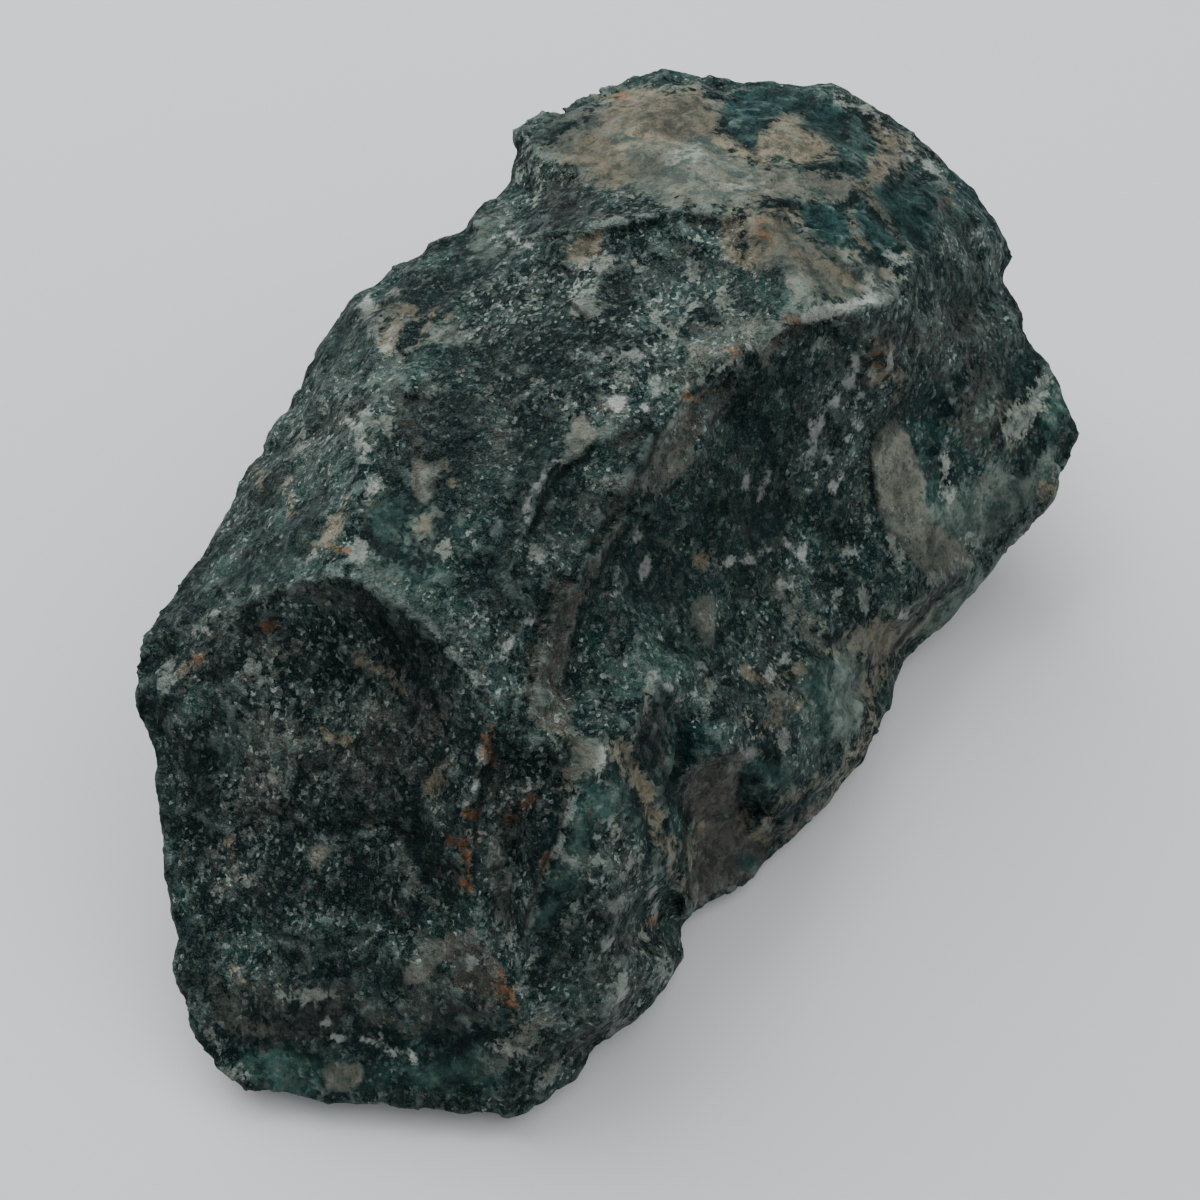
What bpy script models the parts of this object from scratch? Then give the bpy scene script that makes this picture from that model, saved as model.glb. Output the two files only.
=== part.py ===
"""Raw aventurine: one broken chunk of green stone, resting on a flat base. Metres, +Z up.

The long axis lies along X and the origin is the middle of the underside. The stone is two reliefs
sewn together along OUTLINE: the front relief, whose broken edges and faces are listed below, and
the plainer hidden relief behind it. Points in the lists are in millimetres.
"""
import bmesh
import bpy
from mathutils import Vector, geometry, noise

# Driving dimensions: the finished stone, in metres.
LENGTH = 0.114
WIDTH = 0.062
HEIGHT = 0.049

# Roughness of the broken surface: how far apart its forms are and how high, in millimetres.
SWELLS = (11.0, 0.6)
LUMPS = (4.5, 0.4)
GRAIN = (2.2, 0.2)
# Flat chips broken off it: their width in millimetres and their slope.
CHIP_WIDTH = 6.0
CHIP_SLOPE = 0.16

# How finely the cage is split, how far its faces are softened, and how much of that softening
# reaches the broken edges.
SPLIT_LEVELS = 3
SOFTEN_STEPS = 8
EDGE_SOFTNESS = 0.1
TRIANGLES = 8200

# Each relief is sewn as it is seen from SIGHT_POINT, where no part of it hides another.
SIGHT_POINT = Vector((-95, -77, 168))
SIGHT_TARGET = Vector((-7, -8, 25))

STONE_COLOR = (0.028, 0.070, 0.062, 1.0)
STONE_ROUGHNESS = 0.55

# The widest line round the stone, from the knob at its right end.
OUTLINE = [
    (43.5, 24, 41), (48, 15.5, 40), (54.5, 9, 38), (55.5, 2, 36), (54.5, -6, 34), (55, -11.5, 31),
    (54.5, -15, 28), (52.5, -15.5, 26), (48.5, -21.5, 23), (47.5, -27, 20), (46, -30, 17),
    (40, -31.5, 13), (32, -30.5, 9), (26, -29, 5), (20.5, -27.5, 3), (15, -29, 3), (6.5, -31, 2.5),
    (-4, -31, 2), (-11.5, -29.5, 2), (-17.5, -27, 2), (-20, -27, 3), (-23, -29.5, 3),
    (-28, -30.5, 3), (-34, -29.5, 3), (-40, -28.5, 3), (-44.5, -27, 3), (-48, -22, 3),
    (-52.5, -14.5, 3), (-57.5, -6.5, 3), (-57.5, -1, 6), (-54, 4, 10), (-48, 9, 17),
    (-43.5, 14, 23), (-41.5, 18.5, 26), (-37, 21, 28), (-30, 22.5, 29), (-20, 24.5, 31),
    (-8.5, 27.5, 33), (1, 29, 35), (10.5, 27, 37), (13.5, 25, 37.5), (17.5, 26, 38),
    (21, 25.5, 38.5), (26, 29.5, 40), (33, 28.5, 41),
]

# Broken edges of the front relief. Edges that meet share a point.
FRONT_EDGES = {
    "arch_crest": [
        (-37, 21, 28), (-34, 11.5, 34), (-32, 8.5, 37), (-30.5, 5.5, 39.5), (-29, 3, 41.5),
        (-28, 0, 42), (-27.5, -3.5, 41.5), (-28, -6.5, 40.5), (-28, -9, 39), (-28.5, -11.5, 37.5),
    ],
    "front_spur": [
        (-28.5, -11.5, 37.5), (-30, -14.5, 34), (-33.5, -15, 30.5), (-36.5, -16.5, 26.5),
        (-38.5, -19.5, 21.5), (-40, -23, 16), (-40.5, -26.5, 10), (-44.5, -27, 3),
    ],
    "scar_rim": [
        (55, -11.5, 31), (45, -12.5, 36.5), (37, -13, 40.5), (31, -15.5, 42.5), (24.5, -17, 44.5),
        (20, -17, 46), (17, -13.5, 47.5), (13.5, -12, 47.5), (9, -11, 46.5), (5.5, -9, 45.5),
        (0, -9.5, 44.5), (-6.5, -10.5, 43), (-13, -11.5, 41.5), (-19, -13, 39.5),
        (-22.5, -14, 37.5), (-25.5, -15.5, 36), (-27, -18, 34), (-25, -19.5, 34),
    ],
    "wedge_top": [
        (-25, -19.5, 34), (-24, -21, 34), (-20.5, -22, 33), (-16, -21, 33),
    ],
    "wedge_right_edge": [
        (-16, -21, 33), (-20.5, -23, 31), (-20.5, -25.5, 25.5), (-21, -27.5, 21), (-21, -28.5, 16),
        (-21, -29, 9.5), (-20, -27, 3),
    ],
    "wedge_left_edge": [
        (-25, -19.5, 34), (-28, -22, 31.5), (-30.5, -22.5, 29.5), (-33.5, -22.5, 27),
        (-36.5, -23, 23), (-38.5, -24.5, 18.5), (-40.5, -26.5, 10),
    ],
    "wedge_foot": [
        (-40.5, -26.5, 10), (-35, -30, 11), (-28, -30.5, 11), (-23, -29.5, 3),
    ],
    "spine": [
        (-29, 3, 41.5), (-25, 4.5, 43), (-21, 7.5, 43.5), (-13.5, 12, 44), (-4.5, 20, 41),
        (1, 29, 35),
    ],
    "top_ledge": [
        (7, 14.5, 42.5), (11.5, 11, 45.5), (14, 7.5, 47.5), (16, 5, 48.5), (18, 2.5, 49),
        (20, 1, 49), (21.5, -2, 48.5), (20, -7, 48.5), (18, -11, 48), (17, -13.5, 47.5),
    ],
    "top_step": [
        (-5.5, -7, 45), (-9, -6, 45), (-10.5, -5.5, 45), (-12.5, -6, 44.5), (-15, -7, 44),
        (-17.5, -8, 43.5),
    ],
    "top_step_foot": [
        (-4.5, -7.5, 43.5), (-8, -7, 43.5), (-10, -6.5, 43.5), (-11.5, -7, 43), (-14.5, -7.5, 43),
        (-16.5, -8, 42.5),
    ],
    "lobe_rim": [
        (5, -19.5, 25), (5, -22.5, 22.5), (4.5, -25, 20), (8, -25.5, 20), (12, -27, 18),
        (17, -28, 16), (22.5, -29, 14), (26, -29, 5),
    ],
    "knob_left_edge": [
        (19.5, 21, 40.5), (22.5, 23, 42.5), (21.5, 19, 43.5), (21, 15.5, 44.5), (20.5, 11.5, 46),
        (16, 5, 48.5),
    ],
    "knob_corner": [
        (22.5, 23, 42.5), (26, 29.5, 40),
    ],
    "pocket_rim": [
        (-16, -21, 33), (-12, -22.5, 27.5), (-13.5, -25.5, 26), (-16, -25, 23),
        (-20.5, -25.5, 25.5),
    ],
    "undercut_rim": [
        (-16, -25, 23), (-12, -27, 23), (-10, -28.5, 19), (-8.5, -30, 13.5), (-1, -31, 10),
        (6, -31, 7.5), (15, -29, 3),
    ],
}

# Points that give the faces between those edges their hollows and swells.
FRONT_FACES = {
    "near_face": [
        (-38.5, 7, 29.5), (-42.5, 8.5, 24), (-47, 2.5, 17), (-52, -2, 11), (-54, -7.5, 5.5),
        (-32.5, 0.5, 29.5), (-37.5, -3.5, 24.5), (-43, -7.5, 18.5), (-47.5, -11, 12),
        (-50.5, -14, 6), (-32.5, -9, 29.5), (-37.5, -11.5, 22.5), (-41.5, -16.5, 16),
        (-45.5, -20, 7), (-29.5, 3.5, 35.5), (-29, -2.5, 34), (-34, 7, 32.5),
    ],
    "near_foot": [
        (-51.5, 0.5, 12), (-48, -7, 14.5),
    ],
    "valley": [
        (-29, -17, 28), (-33, -18, 23.5), (-36.5, -20, 19), (-27.5, -14, 36.5), (-23.5, -11.5, 39),
    ],
    "wedge_face": [
        (-26.5, -24.5, 30.5), (-29.5, -27, 25), (-33, -28.5, 18),
    ],
    "scar_strip": [
        (-5.5, -11, 40), (-10, -11.5, 38.5), (-16, -13.5, 36.5), (-20.5, -14.5, 35),
        (-23.5, -16, 34),
    ],
    "scar": [
        (-19, -17, 33), (-12.5, -15, 34), (-6, -13, 35), (-2, -18, 28), (9, -14, 36),
        (19.5, -17.5, 32), (33.5, -18, 34.5), (33.5, -24, 26), (21, -23.5, 21.5), (10.5, -18.5, 25),
        (18, -15, 41), (-8.5, -20.5, 28), (43.5, -20, 28), (41.5, -27, 21), (34, -28, 17.5),
        (26, -27, 16), (27.5, -20.5, 28.5), (-7, -24.5, 24.5),
    ],
    "pocket": [
        (-14.5, -22.5, 25), (-16, -24, 22.5),
    ],
    "lobe": [
        (3, -28, 17), (10, -27.5, 14), (7, -30.5, 9.5), (-4, -27, 22),
    ],
    "undercut": [
        (-14, -25.5, 10.5), (-9, -27, 10), (-10.5, -28, 5.5), (-4, -30.5, 6), (-16, -27, 6),
    ],
    "top": [
        (-23.5, -2, 42), (-15.5, 5, 43), (-5.5, 11.5, 43), (4.5, 16.5, 41.5), (-7, 3, 44.5),
        (-15, -4, 43.5), (-21.5, -9, 41.5), (1, 3, 45.5), (-7, -3.5, 45), (4, -4, 46),
        (7.5, 8, 44.5), (12, 4.5, 45.5), (13.5, -1, 46), (15.5, -6.5, 46.5),
    ],
    "left_slope": [
        (-20.5, 15, 38), (-31.5, 15.5, 33), (-26.5, 12, 37.5), (-12.5, 19, 39), (2, 22.5, 39.5),
    ],
    "knob_top": [
        (28.5, 19.5, 43.5), (33, 10.5, 45), (41, 4, 43), (38, -5, 43.5), (28, -2, 47),
        (29.5, -11.5, 45), (45, -9.5, 38.5),
    ],
}

# The hidden relief: its foot, which the flat base is cut from, and the ridges and hollows behind.
HIDDEN_EDGES = {
    "foot": [
        (-50.5, -7.5, -1.5), (-42.5, 5, -1.5), (-24, 17, -1.5), (-2.5, 22, -1.5), (19, 23, -1.5),
        (36.5, 22.5, -1.5), (48, 13.5, -1.5), (46, -0.5, -1.5), (38, -13, -1.5), (27, -19.5, -1.5),
        (12.5, -22, -1.5), (-1.5, -23, -1.5), (-11.5, -23, -1.5), (-20, -26, -1.5),
        (-29, -27, -1.5), (-40.5, -25, -1.5), (-46.5, -17.5, -1.5), (-50.5, -7.5, -1.5),
    ],
    "back_ridge": [
        (-8.5, 27.5, 33), (-7.5, 29.5, 21), (-4, 28.5, 9), (-2.5, 22, -1.5),
    ],
    "back_corner": [
        (32.5, 27, 41), (37.5, 31, 22), (38.5, 29, 9), (36.5, 22.5, -1.5),
    ],
    "left_corner": [
        (-37, 20, 28), (-33.5, 20, 15), (-30.5, 16.5, 4), (-24, 17, -1.5),
    ],
}
HIDDEN_FACES = {
    "left_wall": [
        (-44, 8.5, 11), (-40, 9, 5),
    ],
    "back_left_hollow": [
        (-20, 23.5, 21), (-18.5, 22.5, 11),
    ],
    "back_right_hollow": [
        (9, 26.5, 24), (12, 26.5, 12), (25, 27, 26), (24, 27.5, 11),
    ],
    "right_end": [
        (49, 25, 20), (50, 22, 8), (57, 15, 18), (55.5, 3, 15),
    ],
    "right_underside": [
        (50.5, -8.5, 12), (51, -1, 5), (44.5, -20, 8), (31.5, -21.5, 2.5),
    ],
}


class Relief:
    """A sheet of triangles over OUTLINE, its edges and its face points."""

    def __init__(self, edges, faces):
        self.points = []
        self.links = []
        self.add_edge(OUTLINE + OUTLINE[:1])
        for edge in edges.values():
            self.add_edge(edge)
        for points in faces.values():
            for point in points:
                self.number(point)

    def number(self, point):
        """The place of a point in the sheet's list, which it joins if it is new."""
        if point not in self.points:
            self.points.append(point)
        return self.points.index(point)

    def add_edge(self, edge):
        numbers = [self.number(point) for point in edge]
        self.links.extend(zip(numbers, numbers[1:]))

    def triangles(self):
        """Triangles between the points, as seen from SIGHT_POINT, along every edge."""
        turn = (SIGHT_TARGET - SIGHT_POINT).to_track_quat("-Z", "Y").inverted()
        seen = [turn @ (Vector(point) - SIGHT_POINT) for point in self.points]
        flat = [Vector((spot.x / -spot.z, spot.y / -spot.z)) for spot in seen]
        rim = list(range(len(OUTLINE)))
        sewn = geometry.delaunay_2d_cdt(flat, self.links, [rim], 1, 1e-6)
        if len(sewn[0]) != len(self.points):
            raise ValueError("two edges of a relief cross")
        return [[self.points[sewn[3][corner][0]] for corner in face] for face in sewn[2]]


def sew_cage():
    """Both reliefs as one closed cage, with the soft weight of each of its corners."""
    cage = bmesh.new()
    softness = cage.verts.layers.deform.verify()
    sharp_points = set(OUTLINE).union(*FRONT_EDGES.values())
    corners = {}
    for relief in (Relief(FRONT_EDGES, FRONT_FACES), Relief(HIDDEN_EDGES, HIDDEN_FACES)):
        for triangle in relief.triangles():
            for point in triangle:
                if point not in corners:
                    corners[point] = cage.verts.new(point)
                    corners[point][softness][0] = EDGE_SOFTNESS if point in sharp_points else 1.0
            cage.faces.new([corners[point] for point in triangle])
    bmesh.ops.recalc_face_normals(cage, faces=cage.faces)
    return cage


def new_stone(collection):
    mesh = bpy.data.meshes.new("stone")
    cage = sew_cage()
    cage.to_mesh(mesh)
    cage.free()
    stone = bpy.data.objects.new("stone", mesh)
    stone.vertex_groups.new(name="soft")
    collection.objects.link(stone)
    return stone


def apply_modifiers(stone):
    view = bpy.context.evaluated_depsgraph_get()
    stone.data = bpy.data.meshes.new_from_object(stone.evaluated_get(view))
    stone.modifiers.clear()


def soften_faces(stone):
    """Split the cage finely and round off its faces, less so along the broken edges."""
    split = stone.modifiers.new("split", "SUBSURF")
    split.subdivision_type = "SIMPLE"
    split.levels = SPLIT_LEVELS
    split.render_levels = SPLIT_LEVELS
    soften = stone.modifiers.new("soften", "SMOOTH")
    soften.iterations = SOFTEN_STEPS
    soften.vertex_group = "soft"
    apply_modifiers(stone)


def roughness(point):
    """Height of the broken surface above the softened one, in millimetres."""
    height = 0.0
    for size, amount in (SWELLS, LUMPS, GRAIN):
        height += amount * noise.noise(point / size + Vector((size, 0, 0)))
    chip = noise.voronoi(point / CHIP_WIDTH)[1][0]
    tilt = noise.cell_vector(chip * 7.3) - Vector((0.5, 0.5, 0.5))
    return height + CHIP_SLOPE * tilt.dot(point - chip * CHIP_WIDTH)


def roughen(mesh):
    moves = [vertex.normal * roughness(vertex.co) for vertex in mesh.vertices]
    for vertex, move in zip(mesh.vertices, moves):
        vertex.co += move


def thin_out(stone):
    """Leave the triangles where the surface turns most."""
    stone.data.calc_loop_triangles()
    thin = stone.modifiers.new("thin", "DECIMATE")
    thin.ratio = TRIANGLES / len(stone.data.loop_triangles)
    apply_modifiers(stone)


def cut_base(form):
    """Cut the foot off at height 0 and close it with one flat face."""
    whole = form.verts[:] + form.edges[:] + form.faces[:]
    cut = bmesh.ops.bisect_plane(form, geom=whole, plane_no=(0, 0, -1), clear_outer=True)
    rim = [item for item in cut["geom_cut"] if isinstance(item, bmesh.types.BMEdge)]
    bmesh.ops.edgeloop_fill(form, edges=rim)


def fit_to_size(form):
    """Scale the stone from millimetres to its real size, centred over the origin."""
    low = Vector([min(vertex.co[axis] for vertex in form.verts) for axis in range(3)])
    high = Vector([max(vertex.co[axis] for vertex in form.verts) for axis in range(3)])
    middle = Vector(((low.x + high.x) / 2, (low.y + high.y) / 2, low.z))
    scale = [real / drawn for real, drawn in zip((LENGTH, WIDTH, HEIGHT), high - low)]
    bmesh.ops.translate(form, verts=form.verts, vec=-middle)
    bmesh.ops.scale(form, verts=form.verts, vec=scale)


def finish_form(mesh):
    form = bmesh.new()
    form.from_mesh(mesh)
    cut_base(form)
    fit_to_size(form)
    form.to_mesh(mesh)
    form.free()


def stone_material():
    material = bpy.data.materials.new("aventurine")
    material.use_nodes = True
    shader = material.node_tree.nodes["Principled BSDF"]
    shader.inputs["Base Color"].default_value = STONE_COLOR
    shader.inputs["Roughness"].default_value = STONE_ROUGHNESS
    shader.inputs["Metallic"].default_value = 0.0
    return material


def main():
    for item in list(bpy.data.objects):
        bpy.data.objects.remove(item)
    collection = bpy.data.collections.new("raw_aventurine")
    bpy.context.scene.collection.children.link(collection)
    stone = new_stone(collection)
    soften_faces(stone)
    roughen(stone.data)
    thin_out(stone)
    finish_form(stone.data)
    stone.data.materials.append(stone_material())


main()
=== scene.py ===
"""Looks of the raw aventurine: its fine broken surface, its stone, and the floor, light and camera."""
import math
from typing import NamedTuple

import bmesh
import bpy
import numpy as np
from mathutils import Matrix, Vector, noise
from mathutils.bvhtree import BVHTree


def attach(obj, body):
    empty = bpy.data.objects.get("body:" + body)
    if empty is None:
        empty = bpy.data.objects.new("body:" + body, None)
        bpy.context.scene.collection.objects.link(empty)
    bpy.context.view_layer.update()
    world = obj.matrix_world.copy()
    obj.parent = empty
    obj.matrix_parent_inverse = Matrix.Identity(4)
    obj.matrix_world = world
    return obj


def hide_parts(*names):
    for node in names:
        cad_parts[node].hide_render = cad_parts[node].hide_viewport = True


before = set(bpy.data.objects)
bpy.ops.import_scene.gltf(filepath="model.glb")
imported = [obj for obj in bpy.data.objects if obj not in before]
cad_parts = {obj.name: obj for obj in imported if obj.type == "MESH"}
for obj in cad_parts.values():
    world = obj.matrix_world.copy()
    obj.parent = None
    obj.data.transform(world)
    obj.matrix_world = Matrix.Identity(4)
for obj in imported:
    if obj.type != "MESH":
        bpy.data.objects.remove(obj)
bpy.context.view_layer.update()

# Without a seed, noise_vector starts from the time of day.
noise.seed_set(1)

NODE = "stone"
MM = 0.001

# The camera, in the part's frame. The picture is square.
PICTURE = 1200
CAMERA_AT = Vector((-0.0948, -0.0765, 0.1682))
CAMERA_AIM = Vector((-0.0067, -0.0077, 0.0250))
CAMERA_ANGLE = math.radians(34.0)
PIXELS_PER_MM = 10.8
PIXELS_AT_ONE_METRE = PICTURE / 2 / math.tan(CAMERA_ANGLE / 2)

# The floor, the light all round, and the lamps: the way each stands (to the camera's right, away from
# the camera and up), its width in metres and its power in watts.
FLOOR_WIDTH = 3.0
FLOOR_COLOR = (0.58, 0.588, 0.605, 1.0)
FLOOR_ROUGHNESS = 0.9
SKY_COLOR = (0.90, 0.95, 1.0, 1.0)
SKY_STRENGTH = 0.27
LAMP_DISTANCE = 0.8
LAMPS = {
    "window": ((-0.55, 0.75, 1.1), 0.7, 7.8),
    "ceiling": ((0.15, 0.1, 1.4), 1.0, 5.2),
    "fill": ((0.9, -0.45, 0.75), 1.0, 3.7),
}

# The fine mesh. Below BASE_ZONE its roughness fades out, so that the stone keeps its flat underside.
VOXEL = 0.34 * MM
WELD = 0.001 * MM
SMOOTH_STEPS = 4
TRIANGLES = 190000
BASE_ZONE = 0.6 * MM

# The broken surface, in millimetres: how it is bent, its chips (how many times finer, width and slope),
# its grain and its pits, which crowd together over PITTED_SIZE.
BEND_SIZE, BEND = 1.8, 0.6
CHIPS = ((1.0, 3.4, 0.12), (1.7, 2.2, 0.10))
CHIP_SCATTER = 5.1
GRAIN_SIZE, GRAIN = 0.9, 0.06
PIT_SIZE, PIT_DEPTH, PIT_WIDTH = 1.3, 0.28, 0.40
PITTED_SIZE, PITTED_GAIN, PITTED_AT = 6.0, 1.6, Vector((9, 0, 0))

# Bulge in millimetres at which an edge counts as sharp. Towards it chips fade to a share of their height,
# and what stands out further is taken off.
SHARP = 0.30
SHARP_STEPS = 8
CHIP_FADE, CHIP_LEAST = 1.3, 0.2

# Ledges and grooves fade out over the last LINE_ENDS pixels of their lines. The lines waver by up to WAVER
# pixels, in waves of WAVER_SIZE millimetres.
LINE_ENDS = 25.0
WAVER = 6.0
WAVER_SIZE = 1.5

# Worn edges, whose pale colour is partly wear and partly painted highlight: the smoothing steps that show
# them, and the bulge in millimetres of a fully worn one.
WORN_AND_HIGHLIT = {"wear_and_highlight": (4, 0.10), "ridge_wear_and_highlight": (40, 0.9)}

# A point is in sight if it faces the camera, by a cosine over SIGHT_GRAZE, and a line from SIGHT_START off
# it to the camera meets nothing. Marks fade out just beyond what is in sight.
SIGHT_START = 0.6 * MM
SIGHT_GRAZE = 0.02
SIGHT_STEPS = 3
SEEN_GAIN, SEEN_LEAST = 3, 0.6

# A mark's depth is how far a point lies inside it, in millimetres, kept within this.
DEPTH_LIMIT = 2.5

# Stains of these kinds go on over the hidden sides, in patches of about this many millimetres.
HIDDEN_STAINS = ("olive", "green", "jade", "pale", "brown", "tan", "haze")
HIDDEN_SIZE = 9.0
HIDDEN_LEAST = 0.28

# The stone's grains: their sizes in millimetres, and for each kind a dark colour, a light one, and the
# light one of lively areas.
CLOT, CHIP, FLECK = 1.8, 0.75, 0.32
CLOT_COLORS = (0.023, 0.058, 0.054), (0.075, 0.070, 0.057), (0.075, 0.070, 0.057)
CHIP_COLORS = (0.034, 0.072, 0.066), (0.094, 0.092, 0.075), (0.168, 0.160, 0.138)
FLECK_COLORS = (0.062, 0.114, 0.106), (0.184, 0.222, 0.202), (0.290, 0.325, 0.295)

# The stone's other colours.
INK = (0.0005, 0.0045, 0.0050)
GROUND_COLORS = (0.0002, 0.0058, 0.0062), (0.0056, 0.0310, 0.0280)
CLOUD_COLOR = (0.0056, 0.0350, 0.0290)
FROST_COLORS = (0.030, 0.060, 0.057), (0.090, 0.120, 0.110)
DUST_COLOR = (0.140, 0.175, 0.162)
# A painted glint colour, for the brightest flecks.
GLINT_COLOR = (0.280, 0.310, 0.285)
# Pale colours of worn edges and crests, partly wear and partly painted highlight.
WORN_AND_HIGHLIGHT_COLOR = (0.152, 0.206, 0.184)
RIDGE_WEAR_AND_HIGHLIGHT_COLOR = (0.108, 0.148, 0.130)


class Look(NamedTuple):
    """How marks of one kind show. All but cover and the colours are in millimetres."""
    ragged: float                # how far their edge is broken up finely
    soft: float                  # how far it fades
    cover: float = 1.0           # how much of the stone they hide
    wander: float = 0.0          # how far their edge wanders
    dark: tuple = None           # their colour
    light: tuple = None          # their other colour, if they have two
    pick: str = "fine"           # the field that chooses between the two


LOOKS = {
    "haze": Look(1.6, 1.2),
    # Dark marks are painted shade.
    "dark": Look(1.4, 1.2),
    "calm": Look(1.0, 0.8),
    "lively": Look(1.2, 1.0),
    "green": Look(1.2, 0.8, 0.72, 1.0, (0.009, 0.036, 0.030), (0.046, 0.100, 0.084), "broad"),
    "jade": Look(1.2, 0.8, 0.86, 1.0, (0.046, 0.078, 0.066), (0.140, 0.165, 0.142), "broad"),
    "brown": Look(1.8, 0.8, 0.60, 0.0, (0.004, 0.009, 0.009), (0.084, 0.075, 0.063)),
    "dun": Look(0.7, 0.3, 0.85, 0.0, (0.046, 0.046, 0.040), (0.138, 0.120, 0.102)),
    "olive": Look(1.2, 0.5, 0.85, 0.8, (0.066, 0.086, 0.074), (0.205, 0.204, 0.158), "streaky"),
    "tan": Look(0.8, 0.40, 0.80, 0.35, (0.082, 0.082, 0.062), (0.222, 0.194, 0.134)),
    "slab": Look(0.25, 0.25, 0.92, 0.0, (0.078, 0.094, 0.078), (0.180, 0.180, 0.147), "broad"),
    "pale": Look(0.6, 0.20, 0.82, 0.0, (0.078, 0.106, 0.094), (0.275, 0.300, 0.262)),
    "teal": Look(0.8, 0.35, 0.88, 0.3, (0.002, 0.016, 0.016), (0.020, 0.060, 0.057)),
    "rim": Look(0.45, 0.3, 0.70, 0.0, (0.060, 0.074, 0.065), (0.190, 0.205, 0.182)),
    "white": Look(0.35, 0.2, 0.80, 0.0, (0.380, 0.410, 0.380)),
    "orange": Look(0.6, 0.30, 0.70, 0.0, (0.070, 0.048, 0.030), (0.255, 0.110, 0.038)),
    "crack_and_shadow": Look(0.2, 0.2, 0.80, 0.0, (0.001, 0.003, 0.003)),
}


# ---- Marks, in the picture's own pixels -------------------------------------------------------

def oval(x, y, wide, high=None, turn=0.0):
    """An oval mark: its middle, its two half widths and its turn in degrees, clockwise."""
    return ("oval", (x, y), (wide, high or wide), math.radians(turn))


def ovals(*each):
    return [oval(*numbers) for numbers in each]


def streak(width, *line):
    """A band of one width along a line, given as the x and y of one point after another."""
    return ("streak", line, width / 2)


def patch(*line):
    """The area inside a closed line, given as the x and y of one point after another."""
    return ("patch", line)


# Orange, tan, olive, brown and dun are stains. Green, jade and teal are clear stone, and pale, white and
# rim are crushed stone. Slab is a flat plate. Haze is frosted with fine grains, and dark is painted shade
# where the stone lies in shade. Crack marks are partly dark cracks and partly painted shadow lines.
# Calm areas have little grain, and in lively ones it stands out.
ORANGE = [
    *ovals((199, 660, 5, 4), (270, 627, 7, 4), (489, 738, 4, 12, 15), (471, 816, 7, 5), (463, 842, 8, 4),
        (467, 862, 3, 12), (466, 885, 5, 8), (505, 994, 6, 12, -25), (588, 815, 4), (690, 397, 8, 4),
        (735, 353, 7, 4, -30), (794, 321, 5, 4), (878, 356, 6, 9), (945, 200, 4, 7), (621, 95, 4, 3),
        (489, 756, 4, 7), (763, 232, 5, 9), (338, 550, 9, 4), (545, 862, 3, 9, 25), (651, 922, 4)),
    streak(8, 512,819, 520,812, 530,799),
]
TAN = [
    *ovals((612, 122, 14, 6, -20), (704, 558, 6, 9, 25), (185, 668, 8, 5), (436, 780, 7, 14, 20),
        (267, 490, 5, 4), (425, 520, 4, 8), (317, 548, 8, 5), (1046, 492, 8, 11, 20), (897, 392, 3, 13)),
    patch(607,100, 625,92, 650,90, 672,94, 690,90, 706,98, 712,112, 702,124, 690,140, 672,150, 655,140,
        640,146, 622,132, 604,126),
    patch(560,150, 585,140, 606,136, 622,150, 628,172, 612,186, 588,172, 566,164),
    streak(13, 694,116, 714,128, 728,144, 746,154, 768,166),
    patch(755,145, 757,131, 768,127, 765,117, 778,118, 784,112, 795,116, 806,113, 804,127, 817,131, 829,141,
        833,152, 826,161, 810,157, 803,163, 788,160, 775,155, 766,159),
    patch(866,108, 880,118, 893,134, 910,150, 901,160, 888,168, 876,186, 862,182, 872,160, 880,146,
        870,128),
    patch(744,210, 760,214, 778,206, 796,208, 790,224, 796,246, 782,250, 768,244, 752,262, 742,240),
    streak(7, 744,262, 760,256, 776,250), streak(11, 790,252, 806,262, 824,266, 848,272),
    streak(9, 830,268, 846,280, 858,294), streak(5, 858,186, 880,206, 900,234, 906,256),
    streak(6, 848,204, 856,226, 868,248), patch(722,218, 742,212, 742,258, 730,262, 724,240),
    patch(568,246, 590,236, 606,238, 600,252, 584,262, 566,260),
    streak(6, 362,664, 378,668, 392,676, 402,690), streak(5, 322,735, 338,740, 356,740),
    patch(218,850, 232,840, 236,862, 226,864), streak(5, 382,310, 398,307, 414,312),
    streak(4, 414,318, 428,313, 438,307), streak(4, 434,318, 448,319, 456,322),
    streak(4, 424,326, 418,342, 402,352), patch(376,322, 400,324, 398,342, 388,356, 380,344),
    patch(336,512, 349,500, 345,520, 337,538, 325,545, 320,532), streak(5, 446,458, 452,480),
    streak(5, 256,470, 258,484), streak(6, 288,482, 290,496, 293,512),
    streak(10, 868,686, 872,706, 868,730, 858,752), streak(7, 858,752, 836,776, 806,788, 776,806, 764,832),
    streak(9, 744,812, 756,830, 768,842),
    patch(866,624, 880,618, 892,622, 890,650, 882,676, 872,680, 868,655),
    patch(612,742, 628,738, 638,750, 644,770, 656,796, 664,830, 676,845, 676,882, 668,870, 654,835, 640,800,
        622,770), streak(7, 690,862, 688,845, 698,828), streak(6, 744,672, 764,682, 786,676, 800,668),
    streak(6, 746,716, 760,728, 776,722, 778,706), streak(8, 770,700, 800,702),
    patch(232,968, 247,964, 252,978, 240,982), patch(878,334, 892,344, 886,374, 872,382, 869,352),
]
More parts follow.
